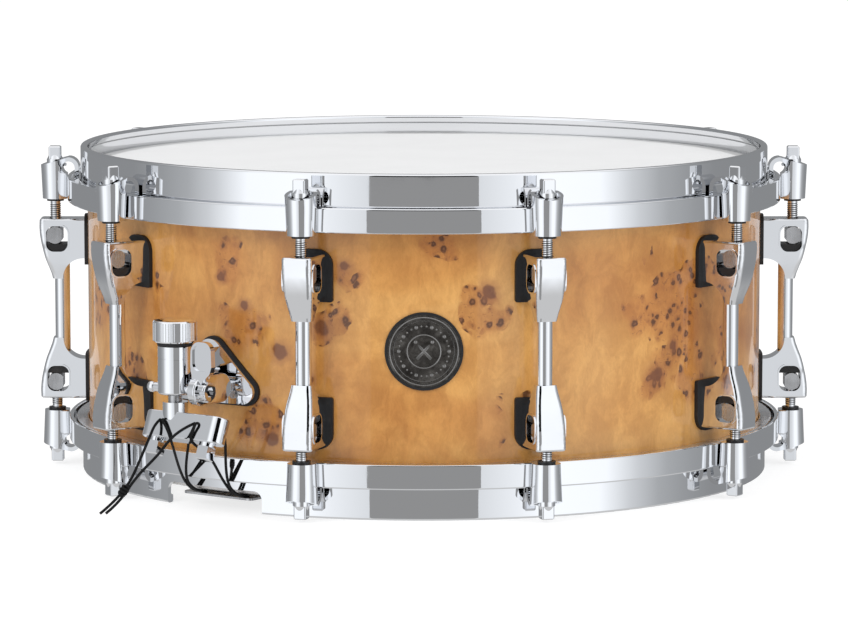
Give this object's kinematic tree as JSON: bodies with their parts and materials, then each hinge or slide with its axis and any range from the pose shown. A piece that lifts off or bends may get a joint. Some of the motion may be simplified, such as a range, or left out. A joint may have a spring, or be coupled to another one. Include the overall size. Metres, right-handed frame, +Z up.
{
  "type": "snare drum",
  "caption": "Round wood-shell snare drum with grooved metal hoops, tube lugs, claw-held tension rods, a lever throw-off strainer and snare wires under the lower head.",
  "frame": {"origin": "where the drum's axis meets the plane its bottom rim stands on", "axes": "+Z up along the drum's axis, the badge faces -Y"},
  "size_m": [0.4062, 0.39, 0.1716],
  "materials": {
    "shell": "gloss lacquer over burl veneer",
    "badge": "dark antique nickel",
    "badge_gasket": "satin",
    "vent_grommet": "polished",
    "batter_head_film": "coated",
    "snare_head_film": "clear film",
    "head_collars": "satin",
    "cord": "braided",
    "chrome": "polished",
    "steel": "zinc plated",
    "brass": "turned",
    "rubber": "satin",
    "nylon": "moulded"
  },
  "bodies": {
    "drum": {"shell": "shell", "badge": "badge", "badge_gasket": "badge_gasket", "vent_grommet": "vent_grommet", "batter_head_film": "batter_head_film", "snare_head_film": "snare_head_film", "head_collars": "head_collars", "top_hoop": "chrome", "bottom_hoop": "chrome", "rim_claws": "chrome", "rod_washers": "chrome", "claw_bushings": "nylon", "lug_casings": "chrome", "lug_tubes": "chrome", "lug_gaskets": "rubber", "swivel_nuts": "brass", "nut_inserts": "nylon", "mounting_screws": "steel", "plate_gaskets": "rubber", "strainer_plate": "chrome", "strainer_housing": "chrome", "pivot_cap_nut": "chrome", "butt_plate": "chrome", "butt_lower_clamp": "chrome", "butt_key_bolts": "chrome", "butt_cords": "cord"},
    "lever": {"strainer_lever": "chrome", "lever_pivot": "chrome"},
    "knob": {"strainer_knob": "chrome", "knob_ring": "rubber"},
    "piston": {"strainer_piston": "steel"},
    "clamp": {"strainer_upper_clamp": "chrome", "strainer_lower_clamp": "chrome", "strainer_key_bolts": "chrome", "strainer_cords": "cord", "cord_end_left": "cord", "cord_end_right": "cord", "cord_knot": "cord"},
    "snares": {"snare_wires": "steel", "snare_end_plates": "brass"},
    "top_rod_01": {"top_tension_rod_01": "chrome"},
    "top_rod_02": {"top_tension_rod_02": "chrome"},
    "top_rod_03": {"top_tension_rod_03": "chrome"},
    "top_rod_04": {"top_tension_rod_04": "chrome"},
    "top_rod_05": {"top_tension_rod_05": "chrome"},
    "top_rod_06": {"top_tension_rod_06": "chrome"},
    "top_rod_07": {"top_tension_rod_07": "chrome"},
    "top_rod_08": {"top_tension_rod_08": "chrome"},
    "top_rod_09": {"top_tension_rod_09": "chrome"},
    "top_rod_10": {"top_tension_rod_10": "chrome"},
    "bottom_rod_01": {"bottom_tension_rod_01": "chrome"},
    "bottom_rod_02": {"bottom_tension_rod_02": "chrome"},
    "bottom_rod_03": {"bottom_tension_rod_03": "chrome"},
    "bottom_rod_04": {"bottom_tension_rod_04": "chrome"},
    "bottom_rod_05": {"bottom_tension_rod_05": "chrome"},
    "bottom_rod_06": {"bottom_tension_rod_06": "chrome"},
    "bottom_rod_07": {"bottom_tension_rod_07": "chrome"},
    "bottom_rod_08": {"bottom_tension_rod_08": "chrome"},
    "bottom_rod_09": {"bottom_tension_rod_09": "chrome"},
    "bottom_rod_10": {"bottom_tension_rod_10": "chrome"}
  },
  "joints": [
    {"name": "lever_swing", "type": "hinge", "parent": "drum", "child": "lever", "pos_m": [-0.12285, -0.16909, 0.0643], "axis": [0.809, -0.5878, 0], "range_deg": [0, 100], "deforming": ["strainer_cords"]},
    {"name": "piston_drop", "type": "slide", "parent": "drum", "child": "piston", "axis": [0, 0, -1], "range_m": [0, 0.005]},
    {"name": "snare_drop", "type": "hinge", "parent": "drum", "child": "snares", "pos_m": [0.0964, 0.13268, 0.0077], "axis": [0.809, -0.5878, 0], "range_deg": [0, 0.8401]},
    {"name": "knob_turn", "type": "hinge", "parent": "drum", "child": "knob", "pos_m": [-0.12285, -0.16909, 0.09], "axis": [0, 0, 1], "range_deg": [-720, 360]},
    {"name": "clamp_adjust", "type": "slide", "parent": "piston", "child": "clamp", "axis": [0, 0, 1], "range_m": [-0.001, 0.0005]},
    {"name": "top_rod_01_spin", "type": "hinge", "parent": "drum", "child": "top_rod_01", "pos_m": [0.06023, -0.18536, 0.14], "axis": [0, 0, 1], "continuous": true},
    {"name": "bottom_rod_01_spin", "type": "hinge", "parent": "drum", "child": "bottom_rod_01", "pos_m": [0.06023, -0.18536, 0.03], "axis": [0, 0, 1], "continuous": true},
    {"name": "top_rod_02_spin", "type": "hinge", "parent": "drum", "child": "top_rod_02", "pos_m": [0.15768, -0.11456, 0.14], "axis": [0, 0, 1], "continuous": true},
    {"name": "bottom_rod_02_spin", "type": "hinge", "parent": "drum", "child": "bottom_rod_02", "pos_m": [0.15768, -0.11456, 0.03], "axis": [0, 0, 1], "continuous": true},
    {"name": "top_rod_03_spin", "type": "hinge", "parent": "drum", "child": "top_rod_03", "pos_m": [0.1949, 0, 0.14], "axis": [0, 0, 1], "continuous": true},
    {"name": "bottom_rod_03_spin", "type": "hinge", "parent": "drum", "child": "bottom_rod_03", "pos_m": [0.1949, 0, 0.03], "axis": [0, 0, 1], "continuous": true},
    {"name": "top_rod_04_spin", "type": "hinge", "parent": "drum", "child": "top_rod_04", "pos_m": [0.15768, 0.11456, 0.14], "axis": [0, 0, 1], "continuous": true},
    {"name": "bottom_rod_04_spin", "type": "hinge", "parent": "drum", "child": "bottom_rod_04", "pos_m": [0.15768, 0.11456, 0.03], "axis": [0, 0, 1], "continuous": true},
    {"name": "top_rod_05_spin", "type": "hinge", "parent": "drum", "child": "top_rod_05", "pos_m": [0.06023, 0.18536, 0.14], "axis": [0, 0, 1], "continuous": true},
    {"name": "bottom_rod_05_spin", "type": "hinge", "parent": "drum", "child": "bottom_rod_05", "pos_m": [0.06023, 0.18536, 0.03], "axis": [0, 0, 1], "continuous": true},
    {"name": "top_rod_06_spin", "type": "hinge", "parent": "drum", "child": "top_rod_06", "pos_m": [-0.06023, 0.18536, 0.14], "axis": [0, 0, 1], "continuous": true},
    {"name": "bottom_rod_06_spin", "type": "hinge", "parent": "drum", "child": "bottom_rod_06", "pos_m": [-0.06023, 0.18536, 0.03], "axis": [0, 0, 1], "continuous": true},
    {"name": "top_rod_07_spin", "type": "hinge", "parent": "drum", "child": "top_rod_07", "pos_m": [-0.15768, 0.11456, 0.14], "axis": [0, 0, 1], "continuous": true},
    {"name": "bottom_rod_07_spin", "type": "hinge", "parent": "drum", "child": "bottom_rod_07", "pos_m": [-0.15768, 0.11456, 0.03], "axis": [0, 0, 1], "continuous": true},
    {"name": "top_rod_08_spin", "type": "hinge", "parent": "drum", "child": "top_rod_08", "pos_m": [-0.1949, 0, 0.14], "axis": [0, 0, 1], "continuous": true},
    {"name": "bottom_rod_08_spin", "type": "hinge", "parent": "drum", "child": "bottom_rod_08", "pos_m": [-0.1949, 0, 0.03], "axis": [0, 0, 1], "continuous": true},
    {"name": "top_rod_09_spin", "type": "hinge", "parent": "drum", "child": "top_rod_09", "pos_m": [-0.15768, -0.11456, 0.14], "axis": [0, 0, 1], "continuous": true},
    {"name": "bottom_rod_09_spin", "type": "hinge", "parent": "drum", "child": "bottom_rod_09", "pos_m": [-0.15768, -0.11456, 0.03], "axis": [0, 0, 1], "continuous": true},
    {"name": "top_rod_10_spin", "type": "hinge", "parent": "drum", "child": "top_rod_10", "pos_m": [-0.06023, -0.18536, 0.14], "axis": [0, 0, 1], "continuous": true},
    {"name": "bottom_rod_10_spin", "type": "hinge", "parent": "drum", "child": "bottom_rod_10", "pos_m": [-0.06023, -0.18536, 0.03], "axis": [0, 0, 1], "continuous": true}
  ],
  "couplings": [
    {"joint": "piston_drop", "follows": "lever_swing", "m_per_rad": 0.0028648},
    {"joint": "snare_drop", "follows": "lever_swing", "ratio": 0.008401},
    {"joint": "clamp_adjust", "follows": "knob_turn", "m_per_rad": 0.000079577}
  ]
}
